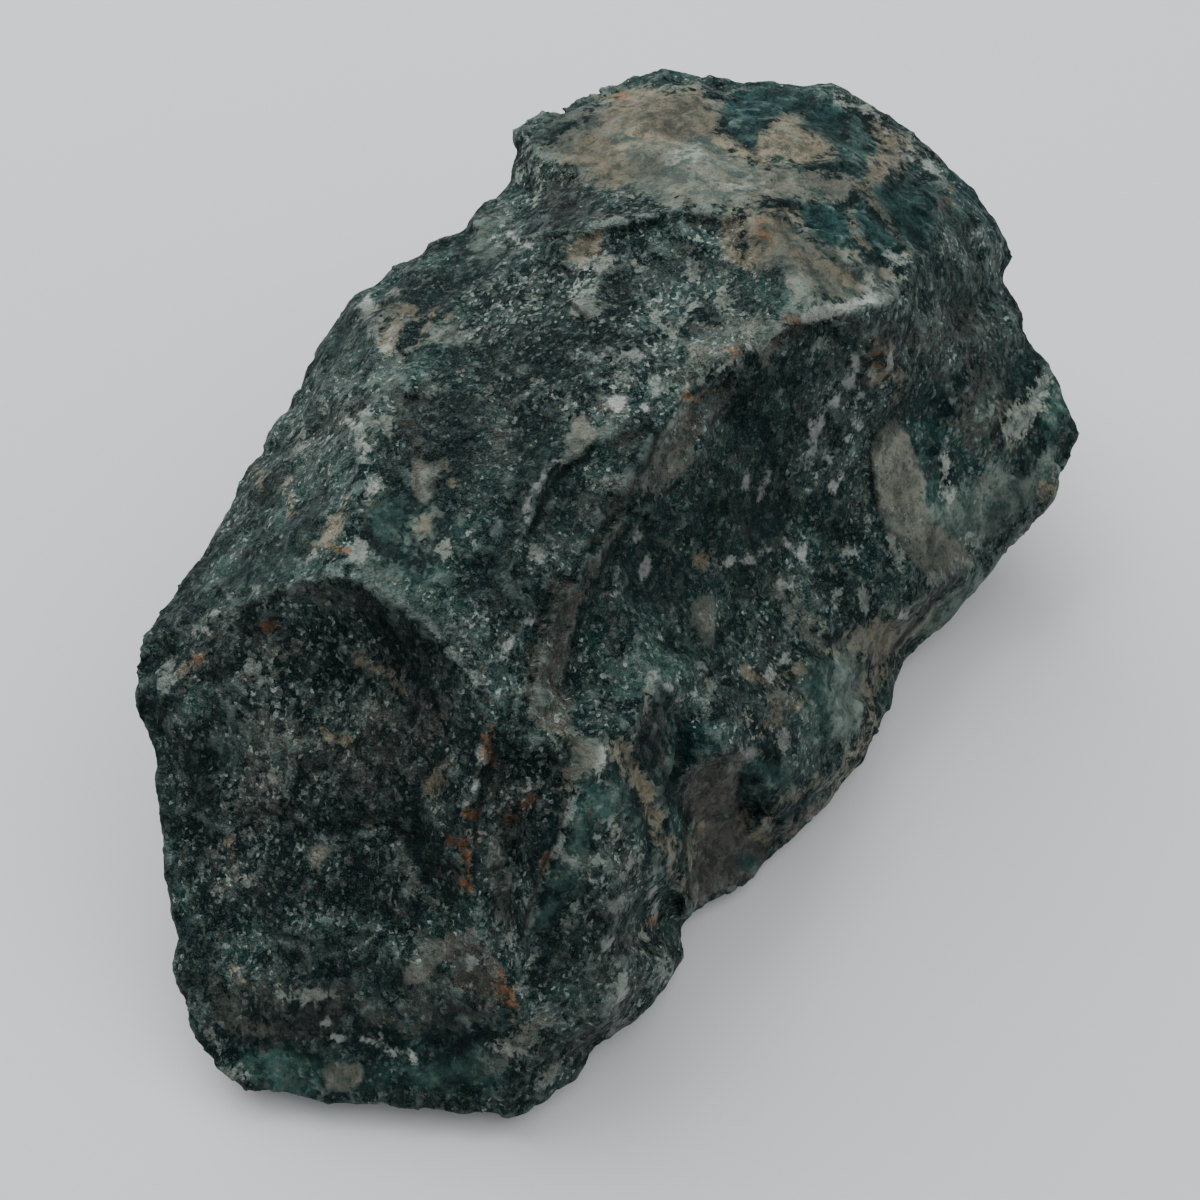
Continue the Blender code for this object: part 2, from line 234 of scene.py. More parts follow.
OLIVE = [
    *ovals((780, 592, 6, 12), (520, 1040, 30, 10, -35)),
    patch(532,150, 552,140, 590,108, 612,94, 690,86, 722,100, 722,128, 744,156, 790,168, 850,176, 858,190,
        842,202, 800,202, 752,206, 690,210, 640,196, 600,186, 560,168),
    patch(742,206, 800,212, 806,232, 824,246, 852,256, 872,264, 900,274, 880,300, 836,306, 800,300, 780,276,
        752,262),
    patch(556,750, 560,738, 575,733, 592,738, 604,750, 598,766, 584,770, 574,782, 566,802, 558,790),
    patch(700,322, 768,318, 742,362, 704,378, 690,350),
    patch(818,650, 832,634, 858,622, 885,618, 905,611, 925,600, 938,594, 926,614, 905,640, 890,662, 884,684,
        874,690, 864,660, 846,648, 828,656), streak(13, 778,584, 790,606, 804,628, 820,646),
    patch(1008,402, 1030,395, 1045,405, 1036,424, 1020,441, 1008,445, 1003,424),
    patch(884,120, 905,140, 912,158, 896,176, 884,170),
]
GREEN = [
    *ovals((330, 596, 60, 12, -15), (744, 862, 18, 9, -10), (1055, 400, 16, 50, 10), (278, 1072, 34, 26),
        (460, 1070, 50, 24), (400, 585, 60, 24, 15), (318, 400, 14, 40, 25), (350, 370, 10, 40, 20),
        (338, 460, 16, 24, 20), (230, 560, 16, 26, 35), (300, 480, 14, 26, 25), (270, 520, 12, 20, 25),
        (330, 340, 12, 24, 35), (395, 380, 16, 24, 20), (190, 700, 30, 16), (960, 190, 30, 40, -40),
        (615, 80, 40, 8, -10), (240, 745, 24, 18), (935, 500, 20, 40, -8), (585, 1000, 18, 30, 30),
        (780, 300, 20, 16), (560, 120, 26, 12, -25), (222, 648, 16, 9)),
    patch(366,500, 410,496, 420,512, 404,536, 376,542, 362,528),
    patch(404,346, 440,340, 452,350, 440,366, 420,378, 406,366),
    patch(574,780, 585,770, 600,785, 614,797, 608,818, 592,850, 586,876, 575,892, 556,906, 545,926, 534,940,
        530,930, 542,898, 552,862, 566,840),
    patch(794,652, 826,655, 860,650, 868,690, 862,730, 836,760, 800,752, 786,720, 800,690),
    patch(735,765, 770,755, 800,775, 770,790, 745,805),
    patch(290,530, 330,515, 352,560, 310,580, 250,605, 200,625, 196,600, 250,560),
    patch(640,640, 700,650, 720,690, 690,720, 640,700, 600,700),
    patch(850,116, 866,128, 882,146, 872,176, 850,172, 840,150),
]
JADE = [
    *ovals((487, 238, 14, 26, 20), (442, 336, 14, 10), (428, 520, 12, 26, 10), (402, 862, 8, 10),
        (372, 570, 20, 10, 20)), patch(382,356, 402,350, 402,380, 388,404, 372,400),
    patch(905,640, 930,606, 970,578, 1000,550, 1040,505, 1000,590, 930,640),
    patch(930,520, 960,490, 1030,460, 1062,440, 1040,500, 990,545, 945,550),
    patch(530,126, 556,116, 590,104, 586,118, 556,132, 532,146),
    # This lighter jade on the lobe's right half is partly the stone's colour and partly painted light, as the
    # lobe faces the light from the right.
    patch(830,655, 848,650, 866,656, 868,690, 860,730, 842,752, 822,756, 836,700),
]
PALE = [
    *ovals((938, 580, 13, 8, 20), (962, 568, 10, 12, 20), (974, 541, 6, 9), (945, 491, 6, 12),
        (945, 470, 3, 10), (600, 262, 16, 5, -12), (725, 300, 8, 12, 30), (694, 270, 7, 10, -20),
        (671, 154, 7, 9), (692, 151, 8, 10), (746, 188, 12, 4), (735, 118, 8, 4), (640, 262, 6, 4),
        (542, 554, 11, 7), (618, 904, 8, 7), (482, 756, 5, 9), (397, 296, 6, 4), (444, 548, 7, 8),
        (430, 476, 6, 12, 10), (168, 674, 7, 14, 15), (275, 774, 8, 5), (412, 885, 6, 9), (246, 880, 7, 5),
        (244, 971, 7, 6), (305, 996, 17, 7), (238, 1077, 10, 6), (214, 1044, 4, 18, -20),
        (560, 1072, 20, 6, -35), (620, 1030, 20, 6, -40), (662, 970, 8, 12), (622, 985, 5, 12),
        (865, 600, 6, 12), (838, 598, 5, 12), (895, 555, 7, 11, -20), (848, 548, 5, 9, -20),
        (868, 518, 4, 10), (782, 740, 6, 8), (560, 856, 5, 4), (572, 863, 4, 5), (585, 878, 6, 4),
        (598, 862, 4, 6), (607, 845, 5, 4), (612, 830, 5, 6), (596, 836, 5, 3), (628, 868, 3, 8, 20),
        (640, 850, 3, 9, 10), (575, 905, 5, 4), (565, 926, 8, 6), (590, 920, 5, 4), (608, 944, 6, 5),
        (642, 945, 5, 12), (652, 900, 4, 18), (533, 960, 4, 6, 30), (508, 940, 3, 6), (500, 905, 3, 8, 10),
        (520, 985, 5, 4, -20), (545, 1000, 4, 6)),
    patch(1003,424, 1014,404, 1030,394, 1042,376, 1052,380, 1046,404, 1032,424, 1016,440, 1006,438),
    streak(9, 690,388, 724,366, 756,344, 776,330, 800,316),
    patch(812,304, 840,302, 872,292, 905,274, 908,290, 880,310, 840,320, 812,320),
    streak(7, 848,262, 866,276, 872,292), patch(888,246, 902,250, 908,262, 896,268, 884,256),
    streak(7, 906,152, 930,166, 952,188), streak(5, 836,98, 868,110, 890,130),
    streak(5, 518,186, 520,160, 528,132), streak(5, 532,164, 540,184, 538,204),
    patch(575,294, 600,290, 598,316, 590,322, 574,312), streak(6, 644,296, 656,316, 672,336),
    streak(5, 597,346, 614,356, 638,355), patch(649,385, 662,374, 672,378, 665,391, 652,394),
    streak(5, 603,748, 598,760, 600,774, 608,790), streak(8, 576,790, 569,815, 561,834, 555,852),
    streak(9, 554,852, 542,872, 533,893, 527,918),
    patch(359,302, 372,298, 379,318, 390,326, 376,336, 362,326, 355,312),
    patch(352,428, 362,410, 374,412, 378,426, 364,436), patch(378,420, 390,414, 393,436, 384,436),
    patch(362,484, 377,470, 382,486, 372,498, 363,496), streak(5, 360,440, 366,456, 368,474),
    patch(348,556, 352,538, 364,536, 368,550, 358,562), streak(5, 300,562, 322,550, 336,556),
    patch(286,458, 296,432, 308,424, 302,448, 296,462), patch(315,394, 324,398, 323,415, 314,414),
    patch(243,658, 256,660, 264,675, 281,683, 260,686, 248,674), streak(5, 228,866, 224,880, 220,898),
    streak(4, 490,1045, 512,1050, 532,1056), patch(810,341, 824,334, 828,350, 814,353),
    streak(5, 700,664, 712,690, 708,706), streak(4, 676,330, 690,306, 706,300),
    streak(4, 654,676, 648,700, 640,724, 630,744),
]
WHITE = [
    *ovals((782, 328, 7, 3, -30), (764, 342, 6, 3, -35), (748, 348, 4, 3), (868, 300, 7, 4, -20),
        (558, 461, 5, 2, 10), (549, 467, 2, 4, 40), (543, 477, 2, 5, 25), (537, 487, 4, 4, 20),
        (529, 498, 2, 6, 20), (526, 507, 3, 3), (526, 522, 2, 4), (612, 402, 5, 4), (623, 400, 5, 4),
        (617, 410, 4, 3), (645, 408, 4, 5), (857, 365, 4, 8, -15), (850, 382, 7, 4), (862, 396, 7, 3, -20),
        (835, 402, 8, 3, -30), (812, 432, 3, 10, 10), (810, 452, 3, 10, 15), (829, 458, 4, 4),
        (842, 478, 4, 5), (833, 487, 3, 4), (856, 425, 4, 5), (890, 362, 4, 8), (872, 372, 3, 5),
        (822, 420, 3, 7, 20), (846, 440, 3, 6, 10), (728, 563, 6, 5), (750, 561, 7, 5, -20),
        (762, 550, 7, 3), (788, 545, 4, 7, -20), (803, 553, 4, 7), (645, 568, 3, 9, 15), (638, 535, 3, 5),
        (692, 543, 3, 4), (785, 586, 8, 4, 15), (787, 657, 5, 6), (772, 672, 4, 10), (746, 480, 3, 7),
        (768, 476, 3, 6), (700, 448, 3, 5), (760, 494, 3, 6), (470, 985, 5, 3), (337, 1038, 8, 5),
        (364, 1040, 7, 4), (381, 1034, 4, 8, 20), (394, 1053, 7, 4), (413, 1057, 4, 6), (325, 1022, 4),
        (483, 757, 5, 6), (350, 422, 7, 3), (372, 486, 5, 7), (214, 612, 7, 3), (204, 630, 5, 3),
        (230, 596, 5, 3, -20), (256, 588, 4), (368, 306, 6, 8), (500, 1040, 4, 3), (676, 700, 4, 3),
        (668, 688, 5, 3, 20), (693, 694, 4), (904, 616, 5, 4), (470, 960, 3, 6), (384, 350, 4, 3),
        (480, 962, 3, 7, -30), (540, 558, 6, 3), (530, 620, 4, 5), (508, 646, 3, 9, 15)),
    patch(800,316, 814,307, 832,305, 848,302, 856,306, 842,316, 822,320, 806,323),
    streak(4, 508,234, 520,242, 530,246), streak(3, 478,780, 472,794, 462,806), streak(4, 716,372, 734,360),
    streak(4, 603,748, 604,764), streak(4, 362,442, 367,458, 368,470),
]
BROWN = [
    *ovals((266, 815, 20, 14), (340, 594, 30, 8), (610, 880, 24, 40, 10), (500, 820, 22, 30),
        (980, 420, 26, 44, 10), (620, 425, 26, 20), (600, 510, 18, 26, 30), (780, 230, 12, 18),
        (488, 440, 20, 36, 10), (330, 420, 20, 50, 20), (955, 340, 40, 30), (255, 640, 40, 14)),
    patch(240,712, 300,716, 330,730, 400,700, 440,700, 440,724, 420,740, 380,790, 300,790, 246,780),
    patch(398,386, 420,392, 434,374, 438,400, 438,430, 434,454, 408,456, 396,448, 396,418),
    patch(200,985, 300,975, 400,1000, 470,990, 500,1000, 480,1020, 400,1030, 330,1040, 260,1040, 222,1030),
    patch(840,335, 900,330, 906,390, 866,376), patch(533,168, 560,170, 606,196, 600,222, 548,214),
    patch(590,930, 640,925, 660,960, 640,1000, 600,1050, 560,1060, 580,1000),
    patch(648,700, 664,706, 662,760, 650,766, 642,740),
]
DUN = [
    patch(562,574, 572,580, 580,598, 574,622, 570,648, 564,668, 560,690, 568,712, 574,734, 556,736, 540,724,
        532,706, 528,690, 530,668, 535,642, 542,616, 552,590),
    patch(735,378, 706,390, 688,400, 674,418, 660,440, 652,466, 640,478, 606,480, 602,490, 630,492, 646,492,
        662,490, 674,474, 690,472, 700,440, 716,412, 736,392),
    patch(690,768, 718,752, 740,748, 758,752, 742,768, 738,792, 744,818, 756,836, 778,850, 770,872, 740,888,
        690,905, 680,885, 690,862, 700,826, 686,806, 678,800),
    patch(444,934, 470,930, 490,950, 510,996, 496,1008, 470,1000, 450,980),
    streak(9, 790,326, 776,344, 762,362), streak(4, 608,536, 597,562, 588,582, 582,598),
    patch(780,834, 800,812, 838,790, 846,796, 820,824, 790,846),
    patch(552,736, 562,730, 572,700, 556,690, 548,716),
]
CALM = [
    *ovals((850, 690, 46, 44), (470, 250, 20, 30), (300, 1075, 60, 26)),
    patch(532,130, 600,92, 690,84, 728,92, 830,90, 880,120, 930,170, 960,215, 925,250, 905,290, 862,314,
        806,304, 758,262, 745,214, 690,206, 640,192, 600,172, 552,160),
    patch(560,735, 640,735, 680,800, 690,900, 650,900, 625,800, 600,770, 566,800),
    patch(690,765, 760,745, 830,800, 780,870, 690,915, 680,860),
    patch(820,640, 880,615, 950,590, 990,560, 970,620, 900,650, 850,660),
    patch(900,400, 930,520, 990,540, 1060,480, 1070,400, 1030,360, 960,370),
    patch(648,684, 680,700, 684,790, 664,800, 641,756),
    patch(372,500, 420,492, 452,520, 448,575, 420,590, 385,570, 360,560),
    patch(545,780, 612,780, 612,850, 580,900, 540,940, 526,920),
    patch(200,1000, 330,985, 420,1010, 520,1010, 500,1090, 260,1090),
]
LIVELY = [
    patch(165,720, 200,640, 262,606, 330,584, 420,632, 470,700, 480,800, 470,890, 430,915, 200,915,
        180,860), patch(470,280, 590,250, 640,290, 636,400, 560,440, 500,440, 462,380),
    patch(500,770, 540,740, 560,800, 540,860, 500,890),
]
SLAB = [
    patch(878,430, 890,416, 898,420, 908,436, 916,462, 926,480, 924,505, 940,530, 965,548, 975,560, 942,582,
        926,576, 912,560, 898,543, 882,526, 877,508, 880,496, 873,470, 872,446),
    patch(692,602, 704,593, 717,595, 715,625, 713,650, 700,641, 690,620),
    patch(573,420, 583,413, 591,423, 598,437, 590,447, 576,457, 562,461, 567,446),
    patch(668,470, 669,454, 678,449, 687,470), patch(612,536, 621,513, 625,528, 619,538),
    patch(409,476, 413,462, 440,459, 440,476, 432,500, 417,502),
    patch(308,845, 326,842, 329,855, 320,860, 323,876, 312,868),
    patch(400,990, 412,955, 424,936, 440,938, 446,956, 426,978),
    patch(318,1070, 330,1062, 348,1064, 364,1060, 362,1078, 352,1092, 328,1090),
]
HAZE = [
    *ovals((490, 640, 30, 60, 10), (525, 520, 22, 60, 10), (545, 560, 30, 26), (230, 600, 50, 22, -25),
        (760, 690, 46, 54), (690, 700, 30, 30), (600, 870, 50, 40), (340, 790, 90, 20),
        (440, 640, 20, 30, -30), (320, 940, 90, 26)),
    patch(850,336, 893,340, 884,400, 857,470, 812,476, 802,420, 820,370),
    patch(505,262, 500,215, 560,240, 606,222, 640,206, 700,212, 740,216, 742,262, 700,300, 712,330, 700,360,
        650,340, 610,300, 560,300), patch(585,665, 622,655, 625,720, 590,730),
    patch(520,1000, 600,1000, 665,950, 664,985, 600,1060, 530,1110, 505,1090),
    patch(370,330, 400,330, 390,400, 382,500, 350,560, 320,560, 360,430),
    patch(300,400, 330,350, 360,360, 350,470, 320,520, 240,560, 215,530, 250,470),
    patch(495,760, 540,760, 560,840, 520,960, 490,960, 474,870),
    patch(890,150, 960,170, 1000,240, 985,262, 930,250), patch(590,330, 690,300, 680,400, 600,410),
    patch(690,320, 800,305, 900,280, 912,300, 800,350, 700,400),
]
# Partly dark cracks, and partly painted shadow lines beside the white step and along the strip's edges.
CRACK_AND_SHADOW_LINES = [
    streak(4, 598,446, 586,459, 566,469, 555,480, 547,495, 540,510, 533,532),
    streak(4, 656,682, 672,700, 680,730, 680,764, 674,792), streak(3, 740,772, 738,800, 748,826),
    streak(3, 690,800, 684,840, 690,905), streak(3, 640,700, 638,740, 646,770),
    streak(4, 520,936, 542,868, 556,836, 568,792), streak(3, 884,528, 872,492, 868,450),
    streak(3, 640,228, 660,216, 690,214), streak(3, 566,300, 588,318, 592,344, 616,358),
    streak(4, 960,572, 930,606, 892,650), streak(3, 500,720, 490,770, 474,830, 474,884),
    streak(3, 744,146, 756,154), streak(3, 744,212, 746,240, 742,262), streak(3, 594,586, 606,560, 626,520),
    streak(3, 512,190, 514,156, 522,128), streak(3, 560,572, 550,592, 540,616, 532,644, 527,668),
    streak(3, 584,600, 578,622, 574,648, 567,668, 564,690),
    streak(3, 706,386, 686,396, 670,416, 656,440, 648,466, 638,476),
    streak(3, 738,394, 718,414, 702,442, 692,474, 664,494),
]
# Painted shade: darker patches in the hollows, under the arch, in the pocket and beside the strip, where
# shade falls.
PAINTED_SHADE = [
    *ovals((640, 820, 10, 40, -15), (940, 628, 26, 12, -30), (720, 820, 18, 26, 15),
        (900, 540, 12, 30, -50)), streak(9, 600,446, 572,466, 556,478, 544,505, 536,536),
    patch(360,594, 420,628, 462,692, 430,694, 380,644, 350,612),
    patch(735,392, 704,444, 652,536, 606,612, 584,690, 604,684, 650,610, 720,510, 775,420),
    patch(648,684, 668,700, 678,740, 678,790, 664,800, 641,756),
    patch(744,356, 800,330, 840,334, 830,370, 780,440, 720,520, 700,500, 730,420),
    streak(10, 602,700, 622,680, 640,690), patch(455,400, 560,380, 545,480, 510,560, 470,640, 440,540),
    patch(640,520, 760,440, 800,500, 770,560, 660,640, 610,640),
    patch(200,690, 230,700, 240,800, 190,830, 180,750), patch(330,800, 440,800, 450,920, 340,920),
]
RIM = [
    *ovals((500, 880, 10, 40, -8)), streak(5, 532,664, 527,680, 529,700, 537,718),
    patch(426,326, 460,320, 460,344, 440,342, 428,336),
    streak(6, 644,486, 656,450, 668,426, 690,402, 720,376), streak(5, 606,482, 624,480, 640,476),
    streak(5, 500,246, 560,236, 606,222, 650,208), streak(6, 205,622, 262,600, 300,587, 332,576),
    streak(5, 332,576, 364,585, 400,602, 428,627, 460,662, 490,700),
    streak(6, 690,772, 712,758, 736,750, 760,752), streak(5, 893,418, 878,432, 873,450),
    streak(6, 900,628, 920,606, 942,588), streak(5, 436,702, 446,694, 452,706),
]
TEAL = [
    *ovals((744, 862, 14, 7, -10), (762, 776, 20, 10, 10)),
    patch(720,122, 730,106, 745,93, 775,88, 800,91, 826,108, 842,116, 846,132, 836,142, 820,131, 806,127,
        806,112, 784,111, 766,117, 768,127, 757,131, 755,147, 742,143, 728,134),
    patch(800,206, 832,204, 843,215, 846,230, 838,243, 822,240, 808,222),
    patch(872,190, 895,186, 920,184, 933,190, 941,205, 933,225, 925,242, 905,248, 897,230, 885,210),
    patch(850,204, 864,205, 880,226, 894,246, 884,250, 868,242, 858,226),
    streak(12, 612,84, 655,66, 700,72, 740,78, 800,82), patch(940,150, 985,200, 1000,240, 975,215, 945,180),
    patch(684,712, 712,730, 726,745, 700,762, 682,772, 678,740),
]
MARKS = {
    "teal": TEAL, "rim": RIM, "orange": ORANGE, "tan": TAN, "olive": OLIVE, "green": GREEN, "jade": JADE,
    "pale": PALE, "brown": BROWN, "crack_and_shadow": CRACK_AND_SHADOW_LINES, "dun": DUN, "slab": SLAB, "white": WHITE, "haze": HAZE,
    "calm": CALM, "dark": PAINTED_SHADE, "lively": LIVELY,
}

# Ledges: a height and a reach in millimetres, and a line of points with its high side on the right hand.
LEDGES = [
    (0.4, 0.8, 606,436, 580,458, 560,465, 551,474, 543,490, 535,508, 528,536),
    (0.7, 1.4, 498,712, 458,662, 420,626, 362,588, 328,578, 262,600, 204,626),
    (0.6, 1.4, 914,284, 880,312, 832,324, 792,322, 742,362, 688,402, 650,460, 640,505),
    (0.9, 1.3, 545,738, 533,690, 536,655, 552,610, 584,560, 636,498),
    (0.7, 1.2, 920,558, 880,523, 874,486, 876,432, 893,418), (0.6, 1.0, 596,312, 592,340, 614,352, 640,346),
    (0.6, 1.0, 524,936, 547,857, 564,826, 578,775),
    (0.8, 1.2, 888,684, 880,712, 864,742, 830,776, 776,806, 764,832),
    (0.7, 1.2, 740,222, 682,212, 606,232, 560,236, 500,246),
    (0.5, 0.9, 654,680, 641,718, 638,752, 654,780, 676,806), (0.5, 1.0, 494,728, 478,780, 464,850, 470,910),
]

# Where the outline is moved to meet the picture's: a pixel on it, the way it goes and how far around it
# that reaches.
SHIFTS = [
    ((133, 655), (4, 1), 30), ((160, 598), (4, 3), 30), ((192, 551), (5, 4), 30), ((220, 508), (7, 4), 30),
    ((255, 455), (6, 3), 30), ((287, 402), (4, 3), 30), ((318, 354), (0, 0), 30),
    ((352, 306), (-3, -3), 24), ((392, 272), (0, 0), 30), ((425, 247), (2, 4), 26),
    ((475, 217), (-3, -2), 20), ((510, 145), (5, 0), 24), ((515, 130), (4, 1), 12),
    ((528, 117), (1, 2), 16), ((546, 104), (2, 1), 12), ((559, 95), (7, 17), 14), ((578, 85), (3, 8), 20),
    ((597, 80), (4, 12), 14), ((620, 72), (2, 8), 26), ((662, 62), (0, 6), 30), ((705, 68), (-1, 6), 30),
    ((750, 76), (-1, 4), 30), ((790, 81), (0, 3), 30), ((844, 95), (2, -3), 26), ((880, 118), (5, -6), 26),
    ((914, 147), (4, -4), 26), ((965, 190), (3, -4), 30), ((1002, 232), (4, -2), 20),
    ((1002, 262), (6, 2), 20), ((1012, 310), (3, -1), 26), ((1048, 370), (1, -1), 26),
    ((1066, 430), (6, 0), 30), ((1048, 497), (3, 2), 26), ((172, 955), (5, 0), 30),
]

# Grooves: a depth and a half width in millimetres, and a line of points.
GROOVES = [
    (0.4, 0.35, 612,442, 586,459, 566,469, 555,480, 547,495, 540,510, 533,532),
    (0.5, 0.6, 656,682, 672,700, 680,730, 680,764, 674,792), (0.5, 0.5, 734,752, 744,800, 728,840),
    (0.5, 0.5, 742,796, 776,826, 784,860), (0.5, 0.5, 690,795, 684,840, 690,905),
    (0.4, 0.5, 566,300, 588,318, 592,344, 616,358), (0.4, 0.5, 700,660, 760,600, 800,560),
    (0.4, 0.6, 470,600, 500,560, 520,500, 520,450), (0.4, 0.5, 240,800, 300,830, 380,826, 440,850),
    (0.4, 0.5, 260,930, 330,950, 420,930),
]


def along_line(spots, line, closed=False):
    """Each spot's distance to a line, its side (1 on the right hand) and its way to the line's nearer end."""
    corners = np.array(line, float).reshape(-1, 2)
    ends = np.roll(corners, -1, axis=0)
    count = len(corners) if closed else len(corners) - 1
    nearest = np.full(len(spots), np.inf)
    side, at, walked = np.zeros(len(spots)), np.zeros(len(spots)), 0.0
    for start, end in zip(corners[:count], ends[:count]):
        along = end - start
        length = math.hypot(*along)
        offset = spots - start
        share = np.clip(offset @ along / length ** 2, 0, 1)
        gap = np.linalg.norm(offset - share[:, None] * along, axis=1)
        closer = gap < nearest
        nearest = np.where(closer, gap, nearest)
        side = np.where(closer, np.sign(along[0] * offset[:, 1] - along[1] * offset[:, 0]), side)
        at = np.where(closer, walked + share * length, at)
        walked += length
    return nearest, side, np.minimum(at, walked - at)


def inside(spots, line):
    """Which spots lie inside a closed line of points."""
    result = np.zeros(len(spots), bool)
    corners = np.array(line, float).reshape(-1, 2)
    for (x0, y0), (x1, y1) in zip(corners, np.roll(corners, -1, axis=0)):
        crosses = (y0 > spots[:, 1]) != (y1 > spots[:, 1])
        rise = (y1 - y0) or 1e-9
        result ^= crosses & (spots[:, 0] < (x1 - x0) * (spots[:, 1] - y0) / rise + x0)
    return result


def mark_depth(mark, spots):
    """How far each spot lies inside a mark, in pixels; less than 0 outside it."""
    if mark[0] == "oval":
        middle, (wide, high), turn = mark[1:]
        offset = spots - np.array(middle, float)
        across = offset[:, 0] * math.cos(turn) + offset[:, 1] * math.sin(turn)
        down = offset[:, 1] * math.cos(turn) - offset[:, 0] * math.sin(turn)
        return (1 - np.hypot(across / wide, down / high)) * min(wide, high)
    if mark[0] == "streak":
        return mark[2] - along_line(spots, mark[1])[0]
    gap = along_line(spots, mark[1], closed=True)[0]
    return np.where(inside(spots, mark[1]), gap, -gap)


def ledge_height(ledge, spots):
    """Height that a ledge adds at each spot, in millimetres."""
    height, reach, *line = ledge
    gap, side, left = along_line(spots, line)
    fade = np.exp(-gap / PIXELS_PER_MM / reach)
    return height / 2 * side * fade * np.clip(left / LINE_ENDS, 0, 1)


def groove_depth(groove, spots):
    """Depth of a groove at each spot, in millimetres."""
    depth, half_width, *line = groove
    gap, _, left = along_line(spots, line)
    return depth * np.exp(-(gap / PIXELS_PER_MM / half_width) ** 2) * np.clip(left / LINE_ENDS, 0, 1)


# ---- The fine surface -------------------------------------------------------------------------

def apply_modifiers(piece):
    """Make the piece's mesh what its modifiers make of it."""
    view = bpy.context.evaluated_depsgraph_get()
    mesh = bpy.data.meshes.new_from_object(piece.evaluated_get(view))
    piece.modifiers.clear()
    piece.data = mesh


def fine_copy(node):
    """The CAD stone's shape on an even mesh of small faces."""
    form = bmesh.new()
    form.from_mesh(node.data)
    bmesh.ops.remove_doubles(form, verts=form.verts, dist=WELD)
    mesh = bpy.data.meshes.new("stone_surface")
    form.to_mesh(mesh)
    form.free()
    piece = bpy.data.objects.new("stone_surface", mesh)
    bpy.context.scene.collection.objects.link(piece)
    remesh = piece.modifiers.new("remesh", "REMESH")
    remesh.mode = "VOXEL"
    remesh.voxel_size = VOXEL
    smooth = piece.modifiers.new("smooth", "SMOOTH")
    smooth.factor = 0.5
    smooth.iterations = SMOOTH_STEPS
    apply_modifiers(piece)
    return piece


def thin_out(piece):
    """Take faces away where the surface is plain, down to the number wanted."""
    thin = piece.modifiers.new("thin_out", "DECIMATE")
    thin.ratio = TRIANGLES / sum(len(face.vertices) - 2 for face in piece.data.polygons)
    apply_modifiers(piece)


def read(mesh, name):
    """A vector of every point of a mesh, as an array."""
    values = np.zeros(len(mesh.vertices) * 3, np.float32)
    mesh.vertices.foreach_get(name, values)
    return values.reshape(-1, 3).astype(float)


class Surface:
    """The fine mesh as arrays: places and normals in millimetres, and its edges."""

    def __init__(self, mesh):
        self.mesh = mesh
        self.places = read(mesh, "co") / MM
        self.normals = read(mesh, "normal")
        edges = np.zeros(len(mesh.edges) * 2, np.int32)
        mesh.edges.foreach_get("vertices", edges)
        self.edges = edges.reshape(-1, 2)
        self.links = np.bincount(self.edges.ravel(), minlength=len(self.places))

    def spread(self, values, steps):
        """Values averaged with their neighbours, a number of times."""
        start, end = self.edges.T
        count = len(values)
        for _ in range(steps):
            total = np.bincount(start, values[end], count) + np.bincount(end, values[start], count)
            values = (values + total / self.links) / 2
        return values

    def bulge(self, steps):
        """How far each point stands out from its surroundings, in millimetres."""
        smoothed = np.stack([self.spread(column, steps) for column in self.places.T], axis=1)
        return ((self.places - smoothed) * self.normals).sum(axis=1)

    def move(self, steps):
        """Move each point by a step in millimetres."""
        self.places = self.places + steps
        self.places[:, 2] = np.maximum(self.places[:, 2], 0.0)
        self.mesh.vertices.foreach_set("co", (self.places * MM).astype(np.float32).ravel())
        self.mesh.update()
        self.normals = read(self.mesh, "normal")

    def store(self, name, values):
        layer = self.mesh.attributes.new(name, "FLOAT", "POINT")
        layer.data.foreach_set("value", values.astype(np.float32))


def camera_turn():
    return (CAMERA_AIM - CAMERA_AT).to_track_quat("-Z", "Y")


def in_picture(places):
    """Each place's pixel in the square picture."""
    seen = (places * MM - np.array(CAMERA_AT)) @ np.array(camera_turn().to_matrix())
    across_and_down = np.stack([seen[:, 0], -seen[:, 1]], axis=1) / -seen[:, 2:]
    return across_and_down * PIXELS_AT_ONE_METRE + PICTURE / 2


def outline_moves(places):
    """How far each place moves so that the outline meets the picture's, in millimetres."""
    spots = in_picture(places)
    pulls = [np.exp(-((spots - at) ** 2).sum(axis=1) / reach ** 2) for at, _, reach in SHIFTS]
    pixels = sum(np.outer(pull, way) for pull, (_, way, _) in zip(pulls, SHIFTS))
    pixels /= np.maximum(sum(pulls), 1)[:, None]
    right, up, back = np.array(camera_turn().to_matrix()).T
    distance = (np.array(CAMERA_AT) / MM - places) @ back
    steps = np.outer(pixels[:, 0], right) - np.outer(pixels[:, 1], up)
    return steps * distance[:, None] / PIXELS_AT_ONE_METRE


def in_sight(surface):
    """1 where the camera sees the surface and 0 where it doesn't, softened between."""
    mesh = surface.mesh
    tree = BVHTree.FromPolygons([v.co for v in mesh.vertices], [p.vertices for p in mesh.polygons])
    result = np.zeros(len(surface.places))
    for number, vertex in enumerate(mesh.vertices):
        start = vertex.co + vertex.normal * SIGHT_START
        way = CAMERA_AT - start
        if way.normalized().dot(vertex.normal) > SIGHT_GRAZE:
            result[number] = tree.ray_cast(start, way.normalized(), way.length)[0] is None
    return surface.spread(result, SIGHT_STEPS)


def facets(place, width, slope):
    """Height of flat chips of about a width, each tilted its own way, all in millimetres."""
    middle = noise.voronoi(place / width)[1][0]
    tilt = noise.cell_vector(middle * CHIP_SCATTER) - Vector((0.5, 0.5, 0.5))
    return 2 * slope * tilt.dot(place - middle * width)


